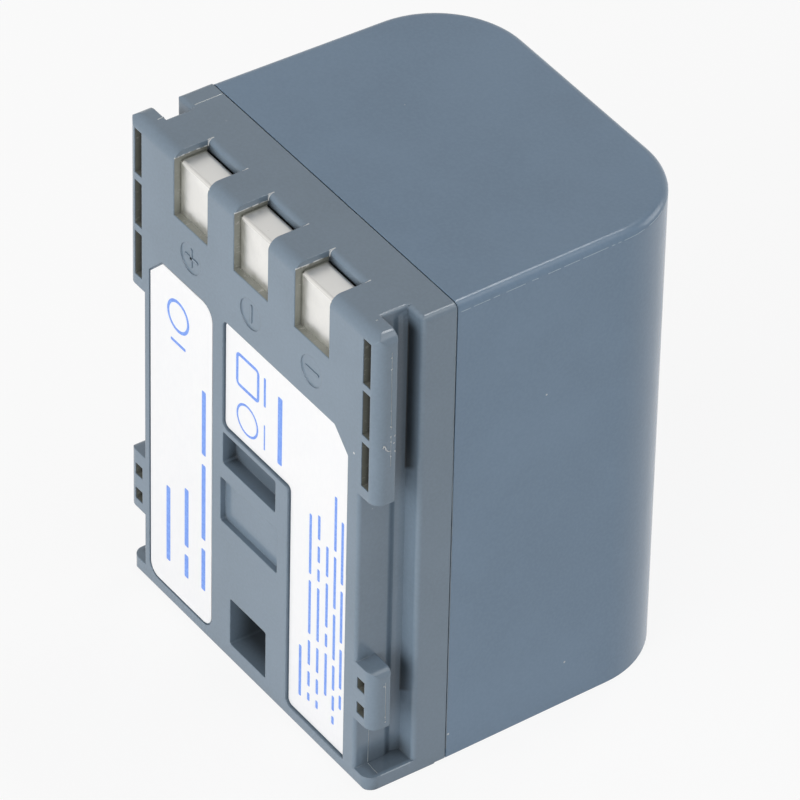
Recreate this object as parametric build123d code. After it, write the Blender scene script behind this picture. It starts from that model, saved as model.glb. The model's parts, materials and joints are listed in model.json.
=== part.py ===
from build123d import *
import os

# A clip-on rechargeable battery for a camera: two moulded shells round four flat cells.
# Sizes are in mm. X is the width, +Z is up, and Y runs from the label face to the back.
# In the names and helpers below, a depth is counted backwards from the label face.
# The origin is the middle of the base.

# Whole pack
width = 33.3  # over both shells at the seam
height = 45.2
depth = 31.1
seam_depth = 7.5  # from the label face to the seam between the shells
wall = 1.1  # side, top and base walls of both shells
back_wall = 1.1
front_wall = 1.4
top_edge = 0.5  # rounding along the top edges of the front shell
rear_top_edge = 0.75  # rounding along the top edges of the rear shell
base_edge = 0.15  # rounding along the base edges
side_draft = 0.5  # how far each side leans in between the seam and the back
top_draft = 0.2  # how far the top falls between the seam and the back
corner_radius = 8.0  # upright corners at the back

# Seam: a tongue on the rear shell enters a rebate in the front shell
tongue = 0.5  # thickness
tongue_length = 1.2
tongue_gap = 0.05
seam_groove = 0.12  # width of the fine dark line round the outside
seam_groove_depth = 0.25

# Front shell, with a groove and two rails down each side
groove = 2.05  # depth of the side grooves below the shells
plate_proud = 0.25  # how far the face plate stands out past the groove floors
plate_depth = 1.45
plate_edge = 0.3
core_top_edge = 0.3  # rounding between the top and the grooves
crown_edge = 1.0  # rounding between the label face and the top
sill_edge = 0.2  # rounding between the label face and the base
band_depth = 4.3  # where the full width starts behind the groove
band_edge = 0.4
rail_proud = 0.35  # how far the rails stand out past the shells
rail_depth = 1.85  # thickness, front to back
rail_edge = 0.95
rail_back_edge = 0.15
upper_rail_corner = 1.0  # rounding at the top outer end
lower_rail_corner = 0.7
upper_rail_length = 16.2
lower_rail_low = 6.45
lower_rail_top = 12.2
floor_top = 1.25  # closed lower end of the groove
floor_corner = 1.0
slot_inset = 0.95  # from the outside of the rails
slot_width = 1.0
slot_depth = 1.3
upper_slot_margin = 1.0  # from the lower end of the rail
upper_slot_length = 4.3
upper_slot_pitch = 4.97
upper_slots = 3
lower_slot_margin = 0.8
lower_slot_length = 1.15
lower_slot_pitch = 2.5
lower_slots = 2

# Contact windows over the crown edge, and the bent strips in them
contact_pitch = 8.24
window_width = 4.7
window_reach = 5.95  # down the label face
window_back = 3.2  # how far the windows reach back over the top
window_edge = 0.45  # rounding between the back of a window and the top
contact_recess = 0.65  # strip behind the label face
contact_drop = 0.9  # strip below the top
contact_metal = 0.25
contact_bend = 0.1  # inner bend radius
contact_gap = 0.15  # at each side of a strip
carrier_width = 1.95  # front to back, under each strip
carrier_margin = 0.9  # plastic beside and below the windows
tail_reach = 5.0
mark_drop = 2.75  # round polarity fields, below the windows
mark_radius = 1.38
mark_sink = 0.1

# Pockets in the label face
latch_width = 7.3
latch_low = 19.35
latch_top = 22.5
latch_sink = 1.25
step_width = 7.9
step_low = 13.4
step_top = 17.8
step_sink = 0.5
key_width = 5.0
key_low = 1.6
key_top = 6.3
key_sink = 3.7
pocket_wall = 0.9
pocket_corner = 0.2

# Labels, each in a shallow bed
left_bed_sink = 0.17
right_bed_sink = 0.35
bed_gap = 0.15
label_film = 0.12
label_chamfer = 1.75
label_low = 1.2
label_drop = 11.8  # below the top
left_label_margin = 0.7  # from the grooves
left_label_inner = 5.25  # from the middle
left_label_crown = 1.4
left_label_corner = 1.1
right_label_margin = 1.45
right_label_inner = 3.6
right_label_waist = 5.45
right_label_clear = 0.6  # above the latch pocket
right_label_corner = 0.5

# Circuit board behind the contacts
board_thickness = 0.8
board_height = 15.5
board_drop = 3.7  # below the top
board_gap = 0.2  # at each side
ledge_width = 1.5
shelf_width = 3.5
shelf_height = 1.0
chip_width = 3.0
chip_height = 3.0
chip_thickness = 1.0
chip_place = (-5.5, 9.0)  # from the middle, and down from the board's upper edge
switch_width = 4.4
switch_height = 3.0
switch_thickness = 1.0
switch_place = (4.5, 9.0)
bead_width = 1.6
bead_height = 0.8
bead_thickness = 0.8
bead_place = (0.0, 5.1)
small_part_width = 1.6
small_part_height = 0.8
small_part_thickness = 0.5
small_part_pitch = 3.2
small_part_count = 5
small_part_row = 12.9

# Cells, taped together face to face
cell_count = 4
cell_side_room = 2.45  # from the outside of the shells
cell_head_room = 3.3
cell_rear_room = 2.2
cell_side_flat = 0.35
cell_foot = 0.5
cell_gap = 0.2  # behind the shoulder of the front shell
tape_film = 0.1
tape_margin = 2.5
lid_rim = 0.5
lid_sink = 0.15
rivet_radius = 1.3
rivet_height = 0.5
pad_inset = 5.2  # welding pad, from the end of the lid
pad_width = 4.0
pad_length = 2.6

# Straps and paper over the lids, and foam round the cells
strap_metal = 0.15
strap_width = 3.0
strap_leg = 3.0  # turned down along the board
paper_film = 0.2
paper_margin = 0.8
paper_clear = 0.4
base_foam = 0.8
foam_margin = 2.0
rear_foam_clear = 0.55  # beside the rounded corners
board_foam_margin = 3.3
board_foam_drop = 3.0

# Places that follow from the sizes above
core_half = width / 2 - groove
plate_half = core_half + plate_proud
rail_half = width / 2 + rail_proud
upper_rail_low = height - upper_rail_length
slot_inner = rail_half - slot_inset - slot_width
window_low = height - window_reach
mark_height = window_low - mark_drop
tail_low = height - tail_reach
label_top = height - label_drop
left_label_outer = core_half - left_label_margin
right_label_outer = core_half - right_label_margin
right_label_step = latch_top + right_label_clear
contact_face = contact_recess + contact_metal
contact_top = height - contact_drop
carrier_back = contact_face + carrier_width
carrier_top = contact_top - contact_metal
carrier_low = window_low - carrier_margin
board_front = carrier_back + contact_metal
board_back = board_front + board_thickness
board_half = core_half - wall - board_gap
board_top = height - board_drop
board_low = board_top - board_height
cell_front = band_depth + wall + cell_gap
cell_back = depth - back_wall - cell_rear_room
cell_pitch = (cell_back - cell_front + tape_film) / cell_count
cell_thickness = cell_pitch - tape_film
cell_side_radius = cell_thickness / 2 - cell_side_flat
cell_width = width - 2 * cell_side_room
pad_offset = cell_width / 2 - pad_inset
cell_low = wall + base_foam
cell_height = height - cell_low - cell_head_room
lid_top = cell_low + cell_height - lid_sink
strap_low = lid_top + rivet_height
rear_foam_half = width / 2 - side_draft - corner_radius - rear_foam_clear
board_foam_half = board_half - board_foam_margin
board_foam_top = board_top - board_foam_drop


def span(a0, a1, b0, b1):
    """Rectangle between two corners."""
    return Pos((a0 + a1) / 2, (b0 + b1) / 2) * Rectangle(a1 - a0, b1 - b0)


def plan(sketch, z0, z1):
    """Raises a sketch of X and depth from z0 to z1."""
    return extrude(Plane.XY.offset(z0) * (Pos(0, -depth / 2) * sketch), z1 - z0)


def face_on(sketch, d0, d1):
    """Carries a sketch of X and Z from depth d0 back to depth d1."""
    return extrude(Plane.XZ.offset(depth / 2 - d1) * sketch, d1 - d0)


def side_on(sketch, x0, x1):
    """Carries a sketch of depth and Z across from x0 to x1."""
    return extrude(Plane.YZ.offset(x0) * (Pos(-depth / 2, 0) * sketch), x1 - x0)


def block(x0, x1, d0, d1, z0, z1):
    return plan(span(x0, x1, d0, d1), z0, z1)


def low_corners(sketch):
    return sketch.vertices().group_by(Axis.Y)[0]


def high_corners(sketch):
    return sketch.vertices().group_by(Axis.Y)[-1]


def both_sides(piece):
    return piece + mirror(piece, Plane.YZ)


def shell_outline(inset):
    """Outline of the pack at the seam, drawn in by an inset."""
    outline = span(inset - width / 2, width / 2 - inset, inset, height - inset)
    if inset < base_edge:
        outline = fillet(low_corners(outline), base_edge - inset)
    if inset < top_edge:
        outline = fillet(high_corners(outline), top_edge - inset)
    return outline


def label_left_outline():
    outline = span(-left_label_outer, -left_label_inner, label_low, label_top)
    outline = chamfer(high_corners(outline).sort_by(Axis.X)[0], label_chamfer)
    outline = fillet(high_corners(outline).sort_by(Axis.X)[-1], left_label_crown)
    return fillet(low_corners(outline), left_label_corner)


def label_right_outline():
    """A broad head over a narrow leg that leaves the latch pockets free."""
    outline = span(-right_label_inner, right_label_outer, right_label_step, label_top)
    outline += span(right_label_waist, right_label_outer, label_low, right_label_step)
    outline = chamfer(high_corners(outline).sort_by(Axis.X)[-1], label_chamfer)
    outline = fillet(outline.vertices().sort_by(Axis.X)[:2], right_label_corner)
    waist = outline.vertices().filter_by(lambda v: abs(v.X - right_label_waist) < right_label_corner)
    return fillet(waist, right_label_corner)


def rail(z0, z1):
    """One rail on the +X side, rounded along its outer edges."""
    section = span(core_half - wall, rail_half, 0, rail_depth)
    outer = section.vertices().group_by(Axis.X)[-1].sort_by(Axis.Y)
    section = fillet(outer[0], rail_edge)
    section = fillet(section.vertices().sort_by(Axis.Y)[-2:].sort_by(Axis.X)[-1], rail_back_edge)
    return plan(section, z0, z1)


def slots(low, length, pitch, count):
    """A row of core-out slots in the front of a rail."""
    row = [span(slot_inner, slot_inner + slot_width, low + i * pitch, low + i * pitch + length)
           for i in range(count)]
    return [face_on(slot, 0, slot_depth) for slot in row]


def front_profile(start, crown):
    """Side view of the front shell from a depth on, with a rounded crown and sill."""
    profile = span(start, seam_depth, 0, height)
    profile = fillet(high_corners(profile).sort_by(Axis.X)[0], crown)
    return fillet(low_corners(profile).sort_by(Axis.X)[0], sill_edge)


def corner_waste(half, top, radius):
    """What a rounded upper corner on the +X side takes off a square one."""
    reach = radius + wall
    return Pos(half - radius, top - radius) * (span(0, reach, 0, reach) - Circle(radius))


def front_outside():
    """The front shell before it is hollowed."""
    core = block(-core_half, core_half, plate_depth / 2, seam_depth, -wall, height + wall)
    plate_section = span(-plate_half, plate_half, 0, plate_depth)
    plate = plan(fillet(low_corners(plate_section), plate_edge), -wall, height + wall)
    band_section = span(-width / 2, width / 2, band_depth, seam_depth)
    band = plan(fillet(low_corners(band_section), band_edge), -wall, height + wall)
    band &= face_on(shell_outline(0), 0, seam_depth)
    floor_section = span(-width / 2, width / 2, 0, seam_depth - wall)
    floor = plan(fillet(low_corners(floor_section), floor_corner), -wall, floor_top)
    rails = both_sides(rail(upper_rail_low, height + wall) + rail(lower_rail_low, lower_rail_top))
    trim = side_on(front_profile(0, crown_edge), -rail_half - wall, rail_half + wall)
    band_trim = side_on(front_profile(band_depth, band_edge), -rail_half - wall, rail_half + wall)
    form = (core & trim) + (band & band_trim)
    for piece in (plate, floor, rails):
        form += piece & trim
    form -= both_sides(face_on(corner_waste(core_half, height, core_top_edge), rail_depth, band_depth))
    for top, radius in ((height, upper_rail_corner), (lower_rail_top, lower_rail_corner)):
        form -= both_sides(face_on(corner_waste(rail_half, top, radius), -wall, rail_depth))
    return form


def front_inside():
    """Hollow of the front shell: narrow between the grooves, full width behind them."""
    side = core_half - wall
    narrow = block(-side, side, front_wall, seam_depth, wall, height - wall)
    wide = face_on(shell_outline(wall), band_depth + wall, seam_depth)
    rebate_start = seam_depth - tongue_length - tongue_gap
    rebate = face_on(shell_outline(wall - tongue - tongue_gap), rebate_start, seam_depth)
    return narrow + wide + rebate


def contact_places():
    return [-contact_pitch, 0, contact_pitch]


def front_supports():
    """What stands on the inside of the front wall: contact block, pocket walls, board ledges."""
    reach = contact_pitch + window_width / 2 + carrier_margin
    parts = [block(-reach, reach, 0, carrier_back, carrier_low, height)]
    latch_reach = latch_width / 2 + pocket_wall
    parts.append(block(-latch_reach, latch_reach, 0, latch_sink + pocket_wall,
                       latch_low - pocket_wall, latch_top + pocket_wall))
    key_reach = key_width / 2 + pocket_wall
    parts.append(block(-key_reach, key_reach, 0, key_sink + pocket_wall, wall / 2, key_top + pocket_wall))
    side = core_half - wall
    outer = core_half - wall / 2
    ledge = block(side - ledge_width, outer, 0, board_front, board_low, carrier_low)
    shelf = block(side - shelf_width, outer, 0, board_back, board_low - shelf_height, board_low)
    return parts + [both_sides(ledge), both_sides(shelf)]


def window_profile():
    """Side view of a contact window, with a soft edge where its back meets the top."""
    opening = span(0, window_back, window_low, height + wall)
    flare = span(-window_edge, 0, 0, window_edge + wall) - Circle(window_edge)
    return opening + Pos(window_back + window_edge, height - window_edge) * flare


def pocket(half, z0, z1, sink):
    return face_on(fillet(span(-half, half, z0, z1).vertices(), pocket_corner), 0, sink)


def front_shell():
    outside = front_outside()
    shell = outside - front_inside()
    for part in front_supports():
        shell += part & outside
    half = window_width / 2
    for x in contact_places():
        shell -= side_on(window_profile(), x - half, x + half)
        carrier = span(contact_face, carrier_back, carrier_low, carrier_top)
        carrier = fillet(high_corners(carrier), contact_bend)
        shell += side_on(carrier, x - half, x + half)
        shell -= face_on(Pos(x, mark_height) * Circle(mark_radius), 0, mark_sink)
    shell -= pocket(latch_width / 2, latch_low, latch_top, latch_sink)
    shell -= pocket(step_width / 2, step_low, step_top, step_sink)
    shell -= pocket(key_width / 2, key_low, key_top, key_sink)
    for outline, sink in ((label_left_outline(), left_bed_sink), (label_right_outline(), right_bed_sink)):
        shell -= face_on(offset(outline, bed_gap), 0, sink)
    upper_low = upper_rail_low + upper_slot_margin
    rows = slots(upper_low, upper_slot_length, upper_slot_pitch, upper_slots)
    lower_low = lower_rail_low + lower_slot_margin
    rows += slots(lower_low, lower_slot_length, lower_slot_pitch, lower_slots)
    for slot in rows:
        shell -= both_sides(slot)
    ring = shell_outline(0) - shell_outline(seam_groove_depth)
    return shell - face_on(ring, seam_depth - seam_groove, seam_depth)


def rear_form(inset, start, end, rise):
    """Drafted box behind the seam, drawn in by an inset and stood up by a rise."""
    lean = side_draft / (depth - seam_depth)
    fall = top_draft / (depth - seam_depth)
    near = width / 2 - inset - lean * (start - seam_depth)
    far = width / 2 - inset - lean * (end - seam_depth)
    outline = make_face(Polyline((-near, start), (near, start), (far, end), (-far, end), close=True))
    outline = fillet(high_corners(outline), corner_radius - inset)
    near_top = height - inset - fall * (start - seam_depth)
    far_top = height - inset - fall * (end - seam_depth)
    profile = make_face(Polyline((start, rise), (end, rise), (end, far_top), (start, near_top), close=True))
    return plan(outline, 0, height) & side_on(profile, -width / 2, width / 2)


def rear_shell():
    outside = rear_form(0, seam_depth, depth, 0)
    top_rim = outside.faces().sort_by(Axis.Z)[-1].edges().sort_by(Axis.Y)[1:]
    outside = fillet(top_rim, rear_top_edge)
    base_rim = outside.faces().sort_by(Axis.Z)[0].edges().sort_by(Axis.Y)[1:]
    outside = fillet(base_rim, base_edge)
    lip = shell_outline(wall - tongue) - shell_outline(wall)
    shell = outside - rear_form(wall, seam_depth, depth - back_wall, wall)
    return shell + face_on(lip, seam_depth - tongue_length, seam_depth)


def contact(x):
    """A saddle-shaped strip over its carrier: face, top and a tail down to the board."""
    outer = span(contact_recess, board_front, window_low, contact_top)
    outer = fillet(high_corners(outer), contact_bend + contact_metal)
    inner = span(contact_face, carrier_back, window_low - contact_metal, carrier_top)
    inner = fillet(high_corners(inner), contact_bend)
    strip = outer - inner - span(carrier_back, board_front, window_low, tail_low)
    half = window_width / 2 - contact_gap
    return side_on(strip, x - half, x + half)


def label(outline, sink):
    return face_on(outline, sink - label_film, sink)


def circuit_board():
    return block(-board_half, board_half, board_front, board_back, board_low, board_top)


def on_board(place, across, up, thickness):
    """A component flat on the front of the board."""
    x0 = place[0] - across / 2
    z0 = board_top - place[1] - up / 2
    return block(x0, x0 + across, board_front - thickness, board_front, z0, z0 + up)


def chip_parts():
    first = -small_part_pitch * (small_part_count - 1) / 2
    row = [(first + i * small_part_pitch, small_part_row) for i in range(small_part_count)]
    return Compound([on_board(place, small_part_width, small_part_height, small_part_thickness).solid()
                     for place in row])


def cell_middle(i):
    return cell_front + i * cell_pitch + cell_thickness / 2


def pad_side(i):
    """The welding pads of the rear pair sit on the other side from those of the front pair."""
    return pad_offset if i < cell_count / 2 else -pad_offset


def cell(i):
    """A drawn can with rounded sides, a sunk lid, a rivet terminal and a welding pad."""
    d0 = cell_front + i * cell_pitch
    outline = span(-cell_width / 2, cell_width / 2, d0, d0 + cell_thickness)
    outline = fillet(outline.vertices(), cell_side_radius)
    can = plan(outline, cell_low, cell_low + cell_height)
    can = chamfer(can.faces().sort_by(Axis.Z)[0].edges(), cell_foot)
    can -= plan(offset(outline, -lid_rim), lid_top, cell_low + cell_height)
    rivet = plan(Pos(0, cell_middle(i)) * Circle(rivet_radius), lid_top, strap_low)
    pad = plan(Pos(pad_side(i), cell_middle(i)) * Rectangle(pad_width, pad_length), lid_top, strap_low)
    return can + rivet + pad


def cell_tape(i):
    d0 = cell_front + i * cell_pitch + cell_thickness
    half = cell_width / 2 - cell_side_radius - tape_margin
    z0 = cell_low + tape_margin
    return block(-half, half, d0, d0 + tape_film, z0, cell_low + cell_height - tape_margin)


def strap(cells_on_pads, cells_on_rivets, leg_x):
    """Flat strap over some pads and rivets, run forward to the board and turned down along it."""
    last = max(cell_middle(i) for i in cells_on_pads + cells_on_rivets) + strap_width / 2
    half = strap_width / 2
    sheet = span(leg_x - half, leg_x + half, board_back, last)
    if cells_on_pads and cells_on_rivets:
        first = min(cell_middle(i) for i in cells_on_rivets) - half
        sheet += span(min(0, leg_x) - half, max(0, leg_x) + half, first, last)
    flat = plan(sheet, strap_low, strap_low + strap_metal)
    leg = span(leg_x - half, leg_x + half, board_back, board_back + strap_metal)
    return flat + plan(leg, strap_low - strap_leg, strap_low)


def lid_insulator():
    """Paper on the lids, cut out round each rivet and pad."""
    half = cell_width / 2 - paper_margin
    rim = cell_low + cell_height
    sheet = span(-half, half, cell_front + paper_margin, cell_back - paper_margin)
    pad_cut = Rectangle(pad_width + paper_clear, pad_length + paper_clear)
    for i in range(cell_count):
        sheet -= Pos(0, cell_middle(i)) * Circle(rivet_radius + paper_clear)
        sheet -= Pos(pad_side(i), cell_middle(i)) * pad_cut
    return plan(sheet, rim, rim + paper_film)


def board_pad():
    z0 = board_low + shelf_height
    return block(-board_foam_half, board_foam_half, board_back, cell_front, z0, board_foam_top)


def rear_pad():
    z1 = cell_low + cell_height - foam_margin
    return block(-rear_foam_half, rear_foam_half, cell_back, depth - back_wall, cell_low + foam_margin, z1)


def base_pad():
    half = cell_width / 2 - foam_margin
    return block(-half, half, cell_front + foam_margin, cell_back - foam_margin, wall, cell_low)


pieces = {
    "front_shell": front_shell(),
    "rear_shell": rear_shell(),
    "label_left": label(label_left_outline(), left_bed_sink),
    "label_right": label(label_right_outline(), right_bed_sink),
    "circuit_board": circuit_board(),
    "protection_chip": on_board(chip_place, chip_width, chip_height, chip_thickness),
    "switch_transistors": on_board(switch_place, switch_width, switch_height, switch_thickness),
    "thermistor": on_board(bead_place, bead_width, bead_height, bead_thickness),
    "chip_parts": chip_parts(),
    "strap_negative": strap([], [0, 1], 0),
    "strap_middle": strap([0, 1], [2, 3], pad_offset),
    "strap_positive": strap([2, 3], [], -pad_offset),
    "lid_insulator": lid_insulator(),
    "board_pad": board_pad(),
    "rear_pad": rear_pad(),
    "base_pad": base_pad(),
}
for name, x in zip(("positive", "sense", "negative"), contact_places()):
    pieces["contact_" + name] = contact(x)
for i in range(cell_count):
    pieces["cell_%d" % (i + 1)] = cell(i)
for i in range(cell_count - 1):
    pieces["cell_tape_%d" % (i + 1)] = cell_tape(i)

os.makedirs("parts", exist_ok=True)
for name, piece in pieces.items():
    export_step(piece, "parts/%s.step" % name)
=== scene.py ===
"""The camera battery in a plain white studio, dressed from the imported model."""
import json
import math
import random

import bpy
from mathutils import Matrix, Vector


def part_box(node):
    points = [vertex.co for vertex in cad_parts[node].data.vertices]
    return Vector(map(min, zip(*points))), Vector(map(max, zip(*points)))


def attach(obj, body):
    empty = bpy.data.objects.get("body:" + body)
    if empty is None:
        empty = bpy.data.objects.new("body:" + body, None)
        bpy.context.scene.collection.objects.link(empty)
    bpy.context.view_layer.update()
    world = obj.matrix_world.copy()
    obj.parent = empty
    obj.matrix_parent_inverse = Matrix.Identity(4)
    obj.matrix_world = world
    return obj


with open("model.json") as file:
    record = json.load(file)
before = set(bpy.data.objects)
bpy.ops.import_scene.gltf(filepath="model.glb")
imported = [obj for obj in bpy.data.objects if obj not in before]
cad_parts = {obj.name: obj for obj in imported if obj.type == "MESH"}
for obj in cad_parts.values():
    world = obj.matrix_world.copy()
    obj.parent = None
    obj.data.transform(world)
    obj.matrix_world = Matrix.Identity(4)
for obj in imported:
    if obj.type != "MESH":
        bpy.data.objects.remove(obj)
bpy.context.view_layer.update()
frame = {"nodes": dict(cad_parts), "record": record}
nodes = frame["nodes"]
scene = bpy.context.scene
MM = 0.001
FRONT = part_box("front_shell")[0].y  # the label face
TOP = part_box("rear_shell")[1].z
LEFT_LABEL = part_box("label_left")[0].y
RIGHT_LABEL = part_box("label_right")[0].y
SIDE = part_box("rear_shell")[1].x
SEAM = FRONT + 7.5 * MM
CONTACT_PITCH = 8.24 * MM


# Node helpers

class Tree:
    """Small helper round one material's nodes."""

    def __init__(self, name):
        self.mat = bpy.data.materials.new(name)
        self.mat.use_nodes = True
        self.nodes = self.mat.node_tree.nodes
        self.links = self.mat.node_tree.links
        self.bsdf = self.nodes["Principled BSDF"]
        self.coords = self.add("ShaderNodeTexCoord").outputs["Object"]

    def add(self, kind, **settings):
        node = self.nodes.new(kind)
        for key, value in settings.items():
            setattr(node, key, value)
        return node

    def put(self, socket, value):
        if isinstance(value, bpy.types.NodeSocket):
            self.links.new(value, socket)
        else:
            socket.default_value = value

    def set(self, name, value):
        self.put(self.bsdf.inputs[name], value)

    def math(self, operation, a, b=0.0, c=0.0, clamp=False):
        node = self.add("ShaderNodeMath", operation=operation, use_clamp=clamp)
        for socket, value in zip(node.inputs, (a, b, c)):
            self.put(socket, value)
        return node.outputs[0]

    def ramp(self, value, low, high, out_low=0.0, out_high=1.0):
        node = self.add("ShaderNodeMapRange", interpolation_type="SMOOTHSTEP")
        for socket, number in zip(node.inputs, (value, low, high, out_low, out_high)):
            self.put(socket, number)
        return node.outputs[0]

    def mix(self, factor, a, b):
        node = self.add("ShaderNodeMix", data_type="RGBA")
        self.put(node.inputs[0], factor)
        self.put(node.inputs[6], a if isinstance(a, bpy.types.NodeSocket) else (*a, 1.0))
        self.put(node.inputs[7], b if isinstance(b, bpy.types.NodeSocket) else (*b, 1.0))
        return node.outputs[2]

    def noise(self, scale, detail=2.0, rough=0.5, stretch=None, vector=None):
        source = vector or self.coords
        if stretch:
            mapping = self.add("ShaderNodeMapping")
            self.put(mapping.inputs["Vector"], source)
            mapping.inputs["Scale"].default_value = stretch
            source = mapping.outputs[0]
        node = self.add("ShaderNodeTexNoise")
        self.put(node.inputs["Vector"], source)
        node.inputs["Scale"].default_value = scale
        node.inputs["Detail"].default_value = detail
        node.inputs["Roughness"].default_value = rough
        return node.outputs["Fac"]

    def cells(self, scale, feature="F1"):
        node = self.add("ShaderNodeTexVoronoi", feature=feature)
        self.put(node.inputs["Vector"], self.coords)
        node.inputs["Scale"].default_value = scale
        return node

    def axes(self):
        node = self.add("ShaderNodeSeparateXYZ")
        self.put(node.inputs[0], self.coords)
        return node.outputs

    def bump(self, height, strength, distance, normal=None):
        node = self.add("ShaderNodeBump")
        node.inputs["Strength"].default_value = strength
        node.inputs["Distance"].default_value = distance
        self.put(node.inputs["Height"], height)
        if normal:
            self.put(node.inputs["Normal"], normal)
        return node.outputs[0]

    def soft_edges(self, radius):
        node = self.add("ShaderNodeBevel", samples=6)
        node.inputs["Radius"].default_value = radius
        return node.outputs[0]

    def edge_amount(self, soft_normal):
        """1 along sharp edges, 0 on plain faces."""
        geometry = self.add("ShaderNodeNewGeometry")
        dot = self.add("ShaderNodeVectorMath", operation="DOT_PRODUCT")
        self.put(dot.inputs[0], soft_normal)
        self.put(dot.inputs[1], geometry.outputs["True Normal"])
        return self.ramp(dot.outputs["Value"], 0.99, 0.8)

    def openness(self, reach):
        """1 on open faces, falling to 0 deep in pockets and corners."""
        node = self.add("ShaderNodeAmbientOcclusion", samples=8)
        node.inputs["Distance"].default_value = reach
        return node.outputs["AO"]

    def between(self, value, low, high, soft):
        rise = self.ramp(value, low - soft, low + soft)
        fall = self.ramp(value, high - soft, high + soft, 1.0, 0.0)
        return self.math("MULTIPLY", rise, fall)

    def every(self, *masks):
        total = masks[0]
        for mask in masks[1:]:
            total = self.math("MULTIPLY", total, mask)
        return total

    def either(self, *masks):
        total = masks[0]
        for mask in masks[1:]:
            total = self.math("MAXIMUM", total, mask)
        return total


# Materials

def raw_walls(t):
    """Masks of the unpolished walls in windows and slots, of the windows alone, and of the painted highlights on the
    window ledges and back corners.
    """
    x, y, z = t.axes()
    side = t.math("ABSOLUTE", x)
    from_middle = t.math("ABSOLUTE", t.math("WRAP", x, CONTACT_PITCH / 2, -CONTACT_PITCH / 2))
    depth = t.math("SUBTRACT", y, FRONT)
    inside = t.ramp(depth, 0.04 * MM, 0.12 * MM)
    middle = t.ramp(side, 11.3 * MM, 11.2 * MM)
    opening = t.every(t.ramp(from_middle, 2.44 * MM, 2.40 * MM), middle, t.ramp(depth, 3.18 * MM, 3.08 * MM),
                      t.ramp(z, TOP - 6.05 * MM, TOP - 5.98 * MM))
    uneven = t.math("MULTIPLY", t.math("SUBTRACT", t.noise(900.0, 3.0), 0.5), 0.16 * MM)
    low = t.math("ADD", z, uneven)
    window = t.every(inside, opening, t.ramp(low, TOP - 0.50 * MM, TOP - 0.56 * MM))
    row = t.either(t.between(z, 29.98 * MM, 44.26 * MM, 0.01 * MM), t.between(z, 7.23 * MM, 10.92 * MM, 0.01 * MM))
    slot = t.every(inside, row, t.between(side, 15.0 * MM, 16.1 * MM, 0.03 * MM),
                   t.ramp(depth, 1.5 * MM, 1.4 * MM))
    patchy = t.ramp(t.noise(1300.0, 3.0, 0.6), 0.42, 0.56)
    # Painted highlights: a patchy pale line along each window's ledge and a bright line at its back corner.
    ledge = t.every(opening, t.between(low, TOP - 0.58 * MM, TOP - 0.47 * MM, 0.015 * MM), patchy)
    corner = t.every(t.between(from_middle, 2.29 * MM, 2.40 * MM, 0.015 * MM), middle,
                     t.between(depth, 3.15 * MM, 3.72 * MM, 0.05 * MM), t.ramp(z, TOP - 0.7 * MM, TOP - 0.5 * MM))
    shade = t.either(opening, t.math("MULTIPLY", slot, 0.45))
    return t.either(window, slot), shade, t.either(ledge, corner)


def pocket_painted_shade(t):
    """Painted shade mask that grows towards the floors of the latch pocket and the key pocket."""
    x, y, z = t.axes()
    side = t.math("ABSOLUTE", x)
    depth = t.math("SUBTRACT", y, FRONT)
    latch = t.every(t.ramp(side, 3.75 * MM, 3.7 * MM), t.between(z, 19.3 * MM, 22.55 * MM, 0.02 * MM),
                    t.ramp(depth, 0.1 * MM, 1.1 * MM, 0.0, 0.42))
    key = t.every(t.ramp(side, 2.6 * MM, 2.55 * MM), t.between(z, 1.55 * MM, 6.35 * MM, 0.02 * MM),
                  t.ramp(depth, 0.1 * MM, 2.2 * MM, 0.0, 0.8))
    return t.either(latch, key)


def raw_plastic(t):
    """Olive tone of the unpolished plastic, with pale flecks."""
    flash = t.ramp(t.noise(2600.0, 5.0, 0.75, stretch=(1.0, 0.45, 1.0)), 0.55, 0.68)
    olive = t.mix(t.noise(700.0, 3.0), (0.17, 0.175, 0.15), (0.25, 0.26, 0.23))
    return t.mix(t.math("MULTIPLY", flash, 0.55), olive, (0.5, 0.5, 0.46))


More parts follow.
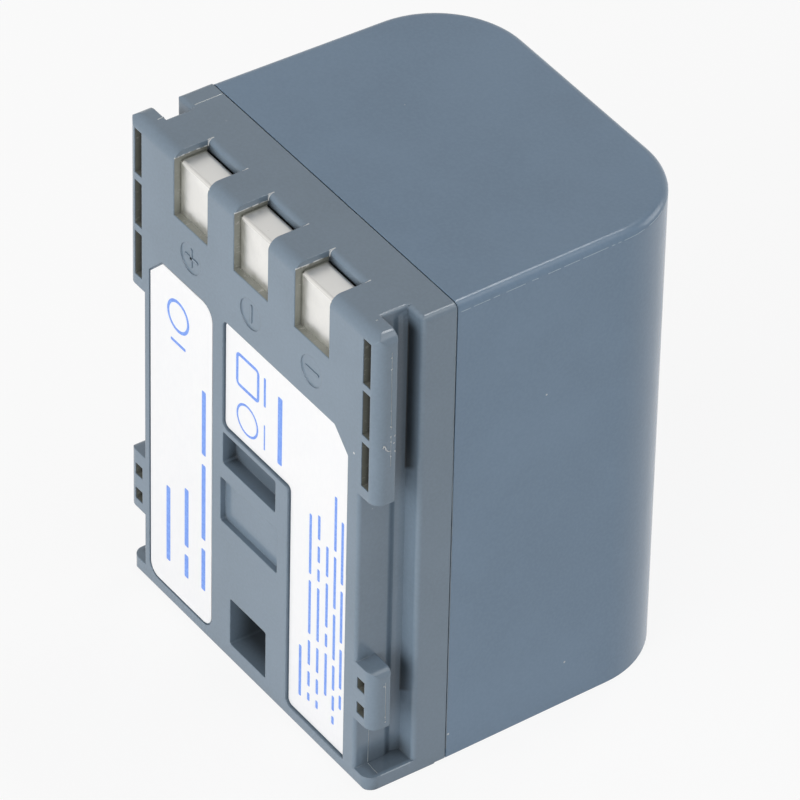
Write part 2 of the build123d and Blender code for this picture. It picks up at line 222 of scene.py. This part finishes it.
def groove_shade(t):
    """How strongly painted shade darkens the grooves, and the painted shadows of the rails on the band's front face and
    the painted shade at the foot.
    """
    x, y, z = t.axes()
    side = t.math("ABSOLUTE", x)
    depth = t.math("SUBTRACT", y, FRONT)
    # Painted shade strength: strong in the grooves behind the rails and at the foot, weak in the open stretches, full
    # outside the grooves.
    low_rail = t.math("MULTIPLY", t.between(z, 7.2 * MM, 12.4 * MM, 0.9 * MM), 0.8)
    rails = t.either(t.ramp(z, 26.6 * MM, 29.0 * MM), low_rail)
    foot = t.every(t.ramp(z, 3.6 * MM, 1.6 * MM), t.ramp(z, 1.14 * MM, 1.2 * MM))
    groove = t.every(t.ramp(side, 14.3 * MM, 14.5 * MM), t.ramp(depth, 0.9 * MM, 1.3 * MM))
    kept = t.ramp(t.either(rails, foot), 0.0, 1.0, 0.08, 0.8)
    strength = t.ramp(groove, 0.0, 1.0, 1.0, kept)
    # Painted shadows of the upper and lower rails on the band's front face.
    slant = t.math("SUBTRACT", z, t.math("MULTIPLY", t.math("SUBTRACT", side, 14.85 * MM), 0.65))
    low_band = t.every(t.ramp(slant, 7.1 * MM, 7.5 * MM), t.ramp(z, 11.7 * MM, 9.9 * MM, 0.0, 0.8))
    bands = t.either(t.ramp(slant, 29.3 * MM, 29.9 * MM), low_band)
    wall = t.every(bands, t.between(depth, 4.2 * MM, 4.6 * MM, 0.06 * MM), t.ramp(z, TOP - 0.6 * MM, TOP - 2.0 * MM),
                   t.ramp(side, 16.5 * MM, 15.1 * MM, 0.0, 0.9), t.ramp(side, 14.4 * MM, 14.5 * MM))
    # Painted shade low on the plate side and groove floor at the foot.
    film = t.every(foot, t.ramp(side, 14.3 * MM, 14.5 * MM), t.ramp(side, 16.5 * MM, 16.2 * MM),
                   t.ramp(depth, 0.5 * MM, 1.1 * MM, 0.0, 0.36), t.ramp(depth, 4.5 * MM, 4.3 * MM))
    return strength, t.either(wall, film)


def shell_plastic(name, dark, light, gloss, pockets=False, rounded=True):
    """Satin moulded plastic with a fine spark grain, dust specks and painted highlights on sharp edges; with pockets,
    also painted shade in recesses and painted highlights in the windows.
    """
    t = Tree(name)
    soft = t.soft_edges(0.14 * MM) if rounded else None
    cloud = t.noise(90.0, 3.0, 0.6)
    grain = t.noise(3600.0, 1.5, 0.5)
    colour = t.mix(t.ramp(cloud, 0.3, 0.7), dark, light)
    colour = t.mix(t.ramp(grain, 0.3, 0.75, 0.0, 0.14), colour, tuple(1.3 * v for v in light))
    if rounded:
        # Painted highlight: sharp edges are made paler, unevenly.
        uneven = t.ramp(t.noise(420.0, 4.0, 0.7), 0.35, 0.7, 0.15, 0.55)
        painted_edge_highlight = t.math("MULTIPLY", t.edge_amount(soft), uneven)
        colour = t.mix(painted_edge_highlight, colour, tuple(min(1.0, 1.75 * v) for v in light))
    if pockets:
        walls, openings, painted_glints = raw_walls(t)
        colour = t.mix(walls, colour, raw_plastic(t))
        # Painted shade: colour darkens deep in grooves, pockets and corners; the mask named film holds painted shadows
        # of the rails and painted shade at the foot.
        strength, film = groove_shade(t)
        behind = t.math("SUBTRACT", t.axes()[1], FRONT)
        painted_shade = t.every(t.ramp(t.openness(2.4 * MM), 0.66, 0.24, 0.0, 0.95), strength,
                        t.ramp(openings, 0.0, 1.0, 1.0, 0.4), t.ramp(behind, 0.25 * MM, 0.8 * MM, 0.3, 1.0))
        colour = t.mix(t.either(painted_shade, film, pocket_painted_shade(t)), colour, (0.02, 0.021, 0.022))
        # Painted highlights on the window ledges and back corners.
        colour = t.mix(t.math("MULTIPLY", painted_glints, 0.75), colour, (0.74, 0.76, 0.76))
    dust = t.cells(430.0)
    speck = t.every(t.ramp(dust.outputs["Distance"], 0.06, 0.035), t.ramp(t.noise(160.0, 1.0), 0.6, 0.63))
    colour = t.mix(t.math("MULTIPLY", speck, 0.7), colour, (0.72, 0.72, 0.7))
    t.set("Base Color", colour)
    rough = t.ramp(t.noise(260.0, 4.0, 0.65), 0.3, 0.7, gloss, gloss + 0.05)
    t.set("Roughness", t.math("ADD", rough, t.math("MULTIPLY", grain, 0.03)))
    t.set("IOR", 1.48)
    height = t.math("ADD", t.math("MULTIPLY", grain, 0.2), t.math("MULTIPLY", t.noise(650.0, 1.5), 0.8))
    height = t.math("ADD", height, t.math("MULTIPLY", speck, 2.0))
    t.set("Normal", t.bump(height, 0.14, 0.02 * MM, soft))
    return t.mat


def raw_look(name):
    """Thin flash of raw plastic beside the contacts."""
    t = Tree(name)
    t.set("Base Color", raw_plastic(t))
    t.set("Roughness", t.ramp(t.noise(1800.0, 3.0), 0.3, 0.7, 0.4, 0.6))
    t.set("Normal", t.bump(t.noise(2600.0, 4.0, 0.7), 0.4, 0.03 * MM, t.soft_edges(0.04 * MM)))
    return t.mat


def nickel(name, tone, rough, along, painted_top_shade=1.0):
    """Rolled nickel plate: fine lines along the strip, handling haze, painted shade on faces turned upwards, and
    painted shade along the bend, where the metal is also rougher.
    """
    t = Tree(name)
    lines = t.noise(1500.0, 4.0, 0.6, stretch=along)
    haze = t.noise(480.0, 4.0, 0.7)
    colour = t.mix(t.ramp(haze, 0.3, 0.75), tuple(0.94 * v for v in tone), tone)
    colour = t.mix(t.ramp(lines, 0.5, 0.8, 0.0, 0.3), colour, tuple(0.8 * v for v in tone))
    # Painted shade: faces turned upwards are darker.
    facing = t.add("ShaderNodeSeparateXYZ")
    t.put(facing.inputs[0], t.add("ShaderNodeTexCoord").outputs["Normal"])
    colour = t.mix(t.ramp(facing.outputs[2], 0.6, 0.9), colour, tuple(painted_top_shade * v for v in tone))
    # Painted shade along the bend, which is also made rougher.
    bend = t.every(t.ramp(facing.outputs[2], 0.1, 0.35), t.ramp(facing.outputs[2], 0.985, 0.9))
    colour = t.mix(t.math("MULTIPLY", bend, 0.75), colour, tuple(0.52 * v for v in tone))
    t.set("Base Color", colour)
    t.set("Metallic", 1.0)
    uneven = t.math("ADD", t.ramp(haze, 0.3, 0.7, rough, rough + 0.14), t.math("MULTIPLY", lines, 0.1))
    t.set("Roughness", t.math("ADD", uneven, t.math("MULTIPLY", bend, 0.3)))
    t.set("Normal", t.bump(lines, 0.18, 0.012 * MM, t.soft_edges(0.05 * MM)))
    return t.mat


def film(name):
    """White sticker film under a clear coat, with faint ripples and fibres in the face stock."""
    t = Tree(name)
    fibre = t.noise(3400.0, 4.0, 0.65, stretch=(1.0, 1.0, 0.35))
    cloud = t.noise(140.0, 2.0)
    colour = t.mix(t.ramp(fibre, 0.3, 0.75), (0.865, 0.872, 0.886), (0.888, 0.892, 0.9))
    colour = t.mix(t.ramp(cloud, 0.35, 0.7, 0.0, 0.25), colour, (0.84, 0.855, 0.885))
    t.set("Base Color", colour)
    t.set("Roughness", t.ramp(t.noise(900.0, 3.0), 0.3, 0.7, 0.34, 0.46))
    t.set("Coat Weight", 0.25)
    t.set("Coat Roughness", 0.22)
    height = t.math("ADD", t.math("MULTIPLY", fibre, 0.3), cloud)
    t.set("Normal", t.bump(height, 0.2, 0.02 * MM, t.soft_edges(0.04 * MM)))
    return t.mat


def ink(name, strong, thin):
    """Printed ink with uneven cover."""
    t = Tree(name)
    cover = t.noise(5200.0, 4.0, 0.7)
    t.set("Base Color", t.mix(t.ramp(cover, 0.35, 0.72), strong, thin))
    t.set("Roughness", t.ramp(cover, 0.3, 0.7, 0.36, 0.5))
    t.set("Coat Weight", 0.25)
    t.set("Coat Roughness", 0.22)
    t.set("Normal", t.bump(cover, 0.1, 0.006 * MM))
    return t.mat


def inner_stuff(name, dark, light, scale, low, high, stretch=None, metallic=0.0, depth=0.02):
    """The pieces held inside: two tones of noise, uneven gloss and a light relief."""
    t = Tree(name)
    body = t.noise(scale, 4.0, 0.65, stretch=stretch)
    fine = t.noise(scale * 7.0, 3.0, 0.6)
    colour = t.mix(t.ramp(body, 0.3, 0.7), dark, light)
    t.set("Base Color", t.mix(t.ramp(fine, 0.4, 0.8, 0.0, 0.3), colour, tuple(0.8 * v for v in dark)))
    t.set("Metallic", metallic)
    t.set("Roughness", t.ramp(body, 0.3, 0.7, low, high))
    t.set("Normal", t.bump(t.math("ADD", body, t.math("MULTIPLY", fine, 0.5)), 0.25, depth * MM))
    return t.mat


FRONT_TONES = (0.162, 0.216, 0.272), (0.178, 0.236, 0.298)
front_plastic = shell_plastic("front_plastic_look", *FRONT_TONES, 0.17, pockets=True)
step_plastic = shell_plastic("groove_floor_look", *FRONT_TONES, 0.17, pockets=True, rounded=False)
rear_plastic = shell_plastic("rear_plastic_look", (0.144, 0.219, 0.310), (0.159, 0.240, 0.338), 0.185)
# Paler plastics for the thin raised lines and the foot rims: the pale tone is a painted highlight on each ridge.
line_plastic = shell_plastic("mould_line_look", (0.40, 0.46, 0.50), (0.52, 0.57, 0.60), 0.17)
lip_plastic = shell_plastic("seam_lip_look", (0.25, 0.31, 0.36), (0.31, 0.37, 0.42), 0.17)
edge_plastic = shell_plastic("edge_line_look", (0.30, 0.39, 0.47), (0.40, 0.49, 0.56), 0.17, rounded=False)
rim_plastic = shell_plastic("foot_rim_look", (0.22, 0.29, 0.36), (0.28, 0.35, 0.42), 0.17, rounded=False)
flash_plastic = raw_look("flash_look")
scuff_plastic = shell_plastic("scuff_look", (0.62, 0.66, 0.68), (0.78, 0.81, 0.82), 0.3)
contact_nickel = nickel("contact_metal_look", (0.93, 0.92, 0.89), 0.24, (9.0, 1.0, 1.0), painted_top_shade=0.64)
looks = {
    "front_plastic": front_plastic,
    "rear_plastic": rear_plastic,
    "label_film": film("label_film_look"),
    "contact_metal": contact_nickel,
    "board": inner_stuff("board_look", (0.02, 0.12, 0.06), (0.04, 0.2, 0.1), 700.0, 0.25, 0.4),
    "chip_resin": inner_stuff("chip_resin_look", (0.02, 0.02, 0.022), (0.045, 0.045, 0.048), 2200.0, 0.45, 0.65),
    "chip_ceramic": inner_stuff("chip_ceramic_look", (0.3, 0.22, 0.15), (0.42, 0.33, 0.25), 2600.0, 0.35, 0.55),
    "strap_metal": nickel("strap_metal_look", (0.66, 0.64, 0.6), 0.3, (1.0, 9.0, 1.0)),
    "insulating_paper": inner_stuff("paper_look", (0.52, 0.45, 0.33), (0.68, 0.6, 0.47), 1900.0, 0.7, 0.9,
                                    stretch=(1.0, 0.3, 1.0)),
    "foam": inner_stuff("foam_look", (0.05, 0.05, 0.055), (0.12, 0.12, 0.13), 3200.0, 0.85, 0.98, depth=0.08),
    "cell_can": inner_stuff("cell_can_look", (0.62, 0.63, 0.65), (0.76, 0.77, 0.78), 900.0, 0.28, 0.42,
                            stretch=(6.0, 6.0, 1.0), metallic=1.0, depth=0.01),
    "tape": inner_stuff("tape_look", (0.7, 0.68, 0.6), (0.84, 0.82, 0.75), 1500.0, 0.5, 0.7),
}
for part in frame["record"]["subparts"]:
    mesh = nodes[part["node"]].data
    mesh.materials.clear()
    mesh.materials.append(looks[part["material_slot"]])


# Small pieces on the label face

def add_piece(name, verts, faces, material):
    """One mesh that rides on the pack."""
    mesh = bpy.data.meshes.new(name)
    mesh.from_pydata(verts, [], faces)
    mesh.validate()
    mesh.update()
    mesh.materials.append(material)
    piece = bpy.data.objects.new(name, mesh)
    scene.collection.objects.link(piece)
    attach(piece, "root")


def flat_piece(name, outlines, back, rise, material):
    """Thin raised shapes on a face that looks along -Y.

    An outline is a list of (x, z) in mm, or an outer and an inner list of one length for a hollow shape.
    """
    verts, faces = [], []
    for outline in outlines:
        hollow = isinstance(outline, tuple)
        loops = outline if hollow else (outline,)
        count, starts = len(loops[0]), []
        for loop in loops:
            starts.append(len(verts))
            for y in (back - rise, back):
                verts += [(x * MM, y, z * MM) for x, z in loop]
        for turned, first in enumerate(starts):
            for i in range(count):
                j = (i + 1) % count
                wall = [first + j, first + i, first + count + i, first + count + j]
                faces.append(wall[::-1] if turned else wall)
        if hollow:
            a, b = starts
            for i in range(count):
                j = (i + 1) % count
                faces.append([a + i, a + j, b + j, b + i])
                faces.append([b + count + i, b + count + j, a + count + j, a + count + i])
        else:
            faces.append([starts[0] + i for i in range(count)])
            faces.append([starts[0] + count + i for i in reversed(range(count))])
    add_piece(name, verts, faces, material)


def beads(name, runs, width, rise, material):
    """Low ridges left by the mould, each from a to b on a face with the given outward direction."""
    verts, faces = [], []
    for a, b, outward in runs:
        across = (b - a).cross(outward).normalized()
        first = len(verts)
        for end in (a, b):
            for side, up in ((-0.5, -0.5), (-0.2, 1.0), (0.2, 1.0), (0.5, -0.5)):
                verts.append(end + side * width * across + up * rise * outward)
        for i in range(4):
            j = (i + 1) % 4
            faces.append([first + i, first + j, first + 4 + j, first + 4 + i])
        faces += [[first + 3, first + 2, first + 1, first], [first + 4 + i for i in range(4)]]
    add_piece(name, verts, faces, material)


def boxes(name, spans, material):
    """Plain blocks, each from its low to its high corner."""
    verts, faces = [], []
    for x0, x1, y0, y1, z0, z1 in spans:
        first = len(verts)
        verts += [(x, y, z) for z in (z0, z1) for y in (y0, y1) for x in (x0, x1)]
        for face in ((0, 2, 3, 1), (4, 5, 7, 6), (0, 1, 5, 4), (2, 6, 7, 3), (0, 4, 6, 2), (1, 3, 7, 5)):
            faces.append([first + i for i in face])
    add_piece(name, verts, faces, material)


def bar(x0, x1, z0, z1, radius, steps=4):
    """Rounded rectangle, counter-clockwise as seen from the front."""
    radius = min(radius, (x1 - x0) / 2.001, (z1 - z0) / 2.001)
    points = []
    corners = ((x1, z0, -90), (x1, z1, 0), (x0, z1, 90), (x0, z0, 180))
    for cx, cz, start in corners:
        mx = cx - radius if cx == x1 else cx + radius
        mz = cz - radius if cz == z1 else cz + radius
        for i in range(steps + 1):
            a = math.radians(start + 90 * i / steps)
            points.append((mx + radius * math.cos(a), mz + radius * math.sin(a)))
    return points


def word_row(x0, x1, z0, words, space):
    """Words as plain rounded bars that run up the label."""
    row, z = [], z0
    for length in words:
        row.append(bar(x0, x1, z, z + length, 0.12))
        z += length + space
    return row


def ring(cx, cz, radius, thick, steps=40):
    """Circle as a hollow outline."""
    turns = [2 * math.pi * i / steps for i in range(steps)]
    return tuple([(cx + r * math.cos(a), cz + r * math.sin(a)) for a in turns] for r in (radius, radius - thick))


def square(x0, x1, z0, z1, thick, radius):
    """Rounded square as a hollow outline."""
    return (bar(x0, x1, z0, z1, radius), bar(x0 + thick, x1 - thick, z0 + thick, z1 - thick, radius - thick))


def stroke(xa, za, xb, zb, thick, steps=5):
    """Straight stroke with round ends."""
    a = math.atan2(zb - za, xb - xa)
    points = []
    for cx, cz, start in ((xb, zb, a - math.pi / 2), (xa, za, a + math.pi / 2)):
        for i in range(steps + 1):
            b = start + math.pi * i / steps
            points.append((cx + thick / 2 * math.cos(b), cz + thick / 2 * math.sin(b)))
    return points


signs = []
MARK_Z, MARK_PITCH = 36.5, 8.24
signs.append(stroke(-MARK_PITCH - 0.8, MARK_Z, -MARK_PITCH + 0.8, MARK_Z, 0.26))
signs.append(stroke(-MARK_PITCH, MARK_Z - 0.8, -MARK_PITCH, MARK_Z + 0.8, 0.26))
signs.append(stroke(0.0, MARK_Z - 0.75, 0.0, MARK_Z + 0.75, 0.26))
signs.append(stroke(MARK_PITCH - 0.8, MARK_Z, MARK_PITCH + 0.8, MARK_Z, 0.26))
flat_piece("polarity_signs", signs, FRONT + 0.1 * MM, 0.06 * MM, front_plastic)

# Flash that closes the gaps beside the contacts
fills = []
for column in (-CONTACT_PITCH, 0.0, CONTACT_PITCH):
    for sign in (-1.0, 1.0):
        inner, outer = column + sign * 2.205 * MM, column + sign * 2.345 * MM
        x0, x1 = min(inner, outer), max(inner, outer)
        fills.append((x0, x1, FRONT + 0.67 * MM, FRONT + 1.2 * MM, TOP - 5.93 * MM, TOP - 1.05 * MM))
        fills.append((x0, x1, FRONT + 0.9 * MM, FRONT + 3.0 * MM, TOP - 1.3 * MM, TOP - 0.93 * MM))
boxes("window_flash", fills, flash_plastic)

# Lines that the mould left: on the top, round the rails, at the seam and below the top edge of the rear shell; their
# paler plastic is a painted highlight on each ridge
LEAN = Vector((-0.5 * MM, 23.6 * MM, 0.0)).normalized()  # how a side of the rear shell runs to the back
UP = Vector((0.0, 0.0, 1.0))


def spot(x, depth, z):
    return Vector((x * MM, FRONT + depth * MM, z * MM))


runs = [(spot(-14.82, 1.3, 45.2), spot(-14.82, 1.9, 45.2), UP), (spot(-14.82, 4.75, 45.2), spot(-14.82, 7.3, 45.2), UP),
        (spot(14.82, 1.25, 45.2), spot(14.82, 1.42, 45.2), UP)]
beads("slide_lines", runs, 0.13 * MM, 0.03 * MM, line_plastic)

runs = []
for sign in (-1.0, 1.0):
    out = Vector((sign, 0.0, 0.0))
    runs.append((spot(sign * 17.0, 1.26, 43.6), spot(sign * 17.0, 1.32, 36.2), out))
    runs.append((spot(sign * 17.0, 1.32, 35.6), spot(sign * 17.0, 1.34, 32.6), out))
    runs.append((spot(sign * 17.0, 1.33, 11.0), spot(sign * 17.0, 1.37, 7.2), out))
    runs.append((spot(sign * 14.85, 1.38, 6.35), spot(sign * 14.85, 1.3, 1.35), out))
    runs.append((spot(sign * 14.9, 1.28, 1.25), spot(sign * 16.3, 1.22, 1.25), UP))
beads("parting_lines", runs, 0.06 * MM, 0.012 * MM, line_plastic)

runs = []
for sign in (-1.0, 1.0):
    out = Vector((sign, 0.0, 1.0)).normalized()
    runs.append((spot(sign * 16.61, 1.3, 1.21), spot(sign * 16.61, 4.1, 1.21), out))
beads("foot_rims", runs, 0.16 * MM, 0.066 * MM, rim_plastic)

runs = []
for sign in (-1.0, 1.0):
    out = Vector((sign, 0.0, 0.0))
    runs.append((spot(sign * 16.65, 7.34, 44.3), spot(sign * 16.65, 7.34, 33.0), out))
    runs.append((spot(sign * 16.65, 7.34, 33.0), spot(sign * 16.65, 7.48, 24.0), out))
    runs.append((spot(sign * 16.65, 7.48, 24.0), spot(sign * 16.65, 7.48, 1.0), out))
beads("seam_lips", runs, 0.07 * MM, 0.012 * MM, lip_plastic)

chance = random.Random(4)
rear = nodes["rear_shell"]
runs = []
for sign in (-1.0, 1.0):
    trail, reach = [], 0.25
    while reach < 24.0:
        z = TOP - 0.81 * MM
        if reach < 15.6:
            start, aim = spot(sign * 40.0, 7.5 + reach, 0.0), Vector((-sign, 0.0, 0.0))
        else:
            turn = (reach - 15.6) / 8.0
            aim = Vector((-sign * math.cos(turn), -math.sin(turn), 0.0))
            start = spot(sign * 8.3, 23.1, 0.0) - 40.0 * MM * aim
        start.z = z
        hit, place, normal, _ = rear.ray_cast(start, aim)
        if hit:
            trail.append((place, normal))
        reach += 0.3
    skip = 0
    for (a, out), (b, _) in zip(trail, trail[1:]):
        skip -= 1
        if skip > 0:
            continue
        gap = 0.01 * (b - a)
        runs.append((a + gap, b - gap, out))
        if chance.random() < 0.22:
            skip = chance.choice((2, 2, 3, 4))
beads("edge_lines", runs, 0.07 * MM, 0.014 * MM, edge_plastic)

# Groove floors: flush with the face plate, then a soft step down and a slope up to the band
STEP_PARTS = 8
profile = [(14.5, 1.3), (14.852, 1.3), (14.852, 2.0), (14.85, 2.8)]
for i in range(1, STEP_PARTS + 1):
    part = i / STEP_PARTS
    profile.append((14.85 - 0.2 * part * part * (3 - 2 * part), 2.8 + 0.65 * part))
profile += [(14.67, 3.55), (14.73, 3.8), (14.83, 4.33), (14.5, 4.33)]
levels = [(1.26, 1.0), (43.6, 1.0), (44.1, 0.85), (44.5, 0.5), (44.8, 0.1), (44.9, 0.0)]
verts, faces = [], []
count = len(profile)
for sign in (-1, 1):
    first = len(verts)
    for z, full in levels:
        verts += [spot(sign * (14.57 + (x - 14.57) * full if x > 14.57 else x), d, z) for x, d in profile]
    for row in range(len(levels) - 1):
        start = first + row * count
        for i in range(count):
            j = (i + 1) % count
            faces.append([start + k for k in (i, j, j + count, i + count)][::sign])
    last = first + (len(levels) - 1) * count
    faces.append([first + i for i in range(count)][::-sign])
    faces.append([last + i for i in range(count)][::sign])
add_piece("groove_floors", verts, faces, step_plastic)

# Scuffs on the right upper rail, and flecks where the parting line tore
chance = random.Random(11)
OUT = Vector((1.0, 0.0, 0.0))
hook = [(0.62, 34.62), (0.7, 34.86), (0.84, 34.62), (0.9, 34.36), (1.12, 34.16), (1.3, 34.12)]
runs = [(spot(17.0, *a), spot(17.0, *b), OUT) for a, b in zip(hook, hook[1:])]
flecks = [(1.31, 35.48), (1.32, 34.99), (1.68, 35.46), (1.60, 34.76), (1.71, 33.94), (1.24, 43.11), (1.26, 42.0),
          (1.28, 38.01), (1.3, 36.45), (1.33, 33.6), (1.32, 10.6), (1.35, 7.5), (1.36, 7.0), (1.2, 10.7)]
for depth, z in flecks:
    turn, reach = chance.uniform(0.3, 2.6), chance.uniform(0.04, 0.1)
    step = Vector((0.0, reach * MM * math.cos(turn), reach * MM * math.sin(turn)))
    runs.append((spot(17.0, depth, z) - step, spot(17.0, depth, z) + step, OUT))
beads("scuffs", runs, 0.1 * MM, 0.02 * MM, scuff_plastic)

blue = ink("label_ink_look", (0.11, 0.26, 0.80), (0.22, 0.40, 0.90))
left_print = word_row(-11.65, -11.1, 4.0, [7.6], 0.8)
left_print += word_row(-9.05, -8.5, 4.0, [2.3, 5.9], 0.9)
left_print += word_row(-6.65, -6.1, 4.4, [4.2, 7.6, 6.4], 1.0)
left_print += [ring(-10.0, 29.6, 1.55, 0.3), stroke(-10.9, 26.9, -9.1, 26.9, 0.3)]
flat_piece("print_left", left_print, LEFT_LABEL, 0.006 * MM, blue)

right_print = [square(-2.2, 1.0, 28.2, 31.5, 0.32, 0.5), stroke(1.75, 28.6, 1.75, 31.2, 0.28)]
right_print += [ring(-0.6, 25.5, 1.5, 0.22), stroke(1.75, 24.3, 1.75, 26.6, 0.18)]
right_print += word_row(3.55, 4.15, 24.2, [6.6], 0.8)
flat_piece("print_right", right_print, RIGHT_LABEL, 0.006 * MM, blue)

small_print = word_row(6.8, 7.15, 3.0, [5.2], 0.5)
small_print += word_row(8.0, 8.33, 3.3, [0.8, 1.5, 2.5, 5.4, 6.0], 0.7)
small_print += word_row(9.15, 9.48, 3.3, [0.8, 1.5, 2.5, 5.4, 1.2, 1.6, 2.4], 0.7)
small_print += word_row(10.3, 10.63, 5.5, [4.3, 1.3, 4.4, 3.0], 0.7)
small_print += word_row(11.35, 11.68, 3.3, [0.8, 1.5, 2.5, 4.6, 5.2, 5.4], 0.6)
small_print += word_row(12.3, 12.63, 5.5, [1.4, 4.0, 5.2, 6.2], 0.7)
flat_piece("print_small", small_print, RIGHT_LABEL, 0.006 * MM, blue)


# Studio

def floor_material():
    """Pale floor: white to the camera and to reflections, with the shadow kept."""
    t = Tree("floor_look")
    cloud = t.noise(3.0, 3.0)
    t.set("Base Color", t.mix(cloud, (0.86, 0.86, 0.86), (0.88, 0.88, 0.88)))
    t.set("Roughness", 0.8)
    t.set("Specular IOR Level", 0.1)
    glow = t.add("ShaderNodeEmission")
    path = t.add("ShaderNodeLightPath")
    seen = t.either(path.outputs["Is Camera Ray"], path.outputs["Is Glossy Ray"], path.outputs["Is Transmission Ray"])
    blend = t.add("ShaderNodeMixShader")
    t.put(blend.inputs[0], t.math("MULTIPLY", seen, 0.88))
    t.links.new(t.bsdf.outputs[0], blend.inputs[1])
    t.links.new(glow.outputs[0], blend.inputs[2])
    t.links.new(blend.outputs[0], t.nodes["Material Output"].inputs["Surface"])
    return t.mat


floor_mesh = bpy.data.meshes.new("floor")
size = 6.0
floor_mesh.from_pydata([(-size, -size, 0), (size, -size, 0), (size, size, 0), (-size, size, 0)], [], [(0, 1, 2, 3)])
floor_mesh.materials.append(floor_material())
floor = bpy.data.objects.new("floor", floor_mesh)
floor.location.z = -0.02 * MM
scene.collection.objects.link(floor)

world = bpy.data.worlds.new("studio")
scene.world = world
world.use_nodes = True
tree = world.node_tree
back = tree.nodes["Background"]
path = tree.nodes.new("ShaderNodeLightPath")
seen = path.outputs["Is Camera Ray"]
for name in ("Is Glossy Ray", "Is Transmission Ray"):
    top = tree.nodes.new("ShaderNodeMath")
    top.operation = "MAXIMUM"
    tree.links.new(seen, top.inputs[0])
    tree.links.new(path.outputs[name], top.inputs[1])
    seen = top.outputs[0]
level = tree.nodes.new("ShaderNodeMapRange")
level.inputs["To Min"].default_value = 0.22
level.inputs["To Max"].default_value = 1.0
tree.links.new(seen, level.inputs["Value"])
tree.links.new(level.outputs[0], back.inputs["Strength"])
back.inputs["Color"].default_value = (1.0, 1.0, 1.0, 1.0)

AIM = Vector((0.0, 0.0, 0.022))


def softbox(name, place, width, height, power, colour, along=(0.0, 0.0, 1.0)):
    """Rectangular lamp that faces the pack, with its height along the given direction."""
    light = bpy.data.lights.new(name, "AREA")
    light.color = colour
    light.shape = "RECTANGLE"
    light.size, light.size_y = width, height
    light.energy = power
    lamp = bpy.data.objects.new(name, light)
    back = (Vector(place) - AIM).normalized()
    tall = (Vector(along) - Vector(along).dot(back) * back).normalized()
    turn = Matrix((tall.cross(back), tall, back)).transposed().to_4x4()
    lamp.matrix_world = Matrix.Translation(place) @ turn
    scene.collection.objects.link(lamp)


softbox("key", (0.20, -0.82, 0.27), 1.0, 0.8, 8.5, (1.0, 0.99, 0.98))
softbox("rim", (-0.155, 0.451, 0.921), 0.08, 0.24, 1.25, (1.0, 1.0, 1.0), along=(-1.0, 0.0, 0.2))
softbox("rim_tail", (0.44, 0.45, 0.82), 0.08, 0.7, 0.8, (1.0, 1.0, 1.0), along=(-1.0, 0.0, 0.55))
softbox("back", (0.30, 0.85, 0.25), 0.5, 0.5, 2.1, (1.0, 1.0, 1.0))

# Camera, fitted to the photograph's edges
FORWARD = Vector((-0.631842, 0.451174, -0.630252)).normalized()
ROLL = math.radians(1.319)
flat_right = FORWARD.cross(Vector((0, 0, 1))).normalized()
flat_up = flat_right.cross(FORWARD)
right = math.cos(ROLL) * flat_right + math.sin(ROLL) * flat_up
up = math.cos(ROLL) * flat_up - math.sin(ROLL) * flat_right
view = bpy.data.cameras.new("camera")
view.sensor_width = 36.0
view.lens = 363.696
view.clip_start, view.clip_end = 0.01, 50.0
camera = bpy.data.objects.new("camera", view)
place = Matrix.Translation((0.398842, FRONT - 0.270595, 0.419596))
camera.matrix_world = place @ Matrix((right, up, -FORWARD)).transposed().to_4x4()
scene.collection.objects.link(camera)
scene.camera = camera
scene.view_settings.view_transform = "Standard"
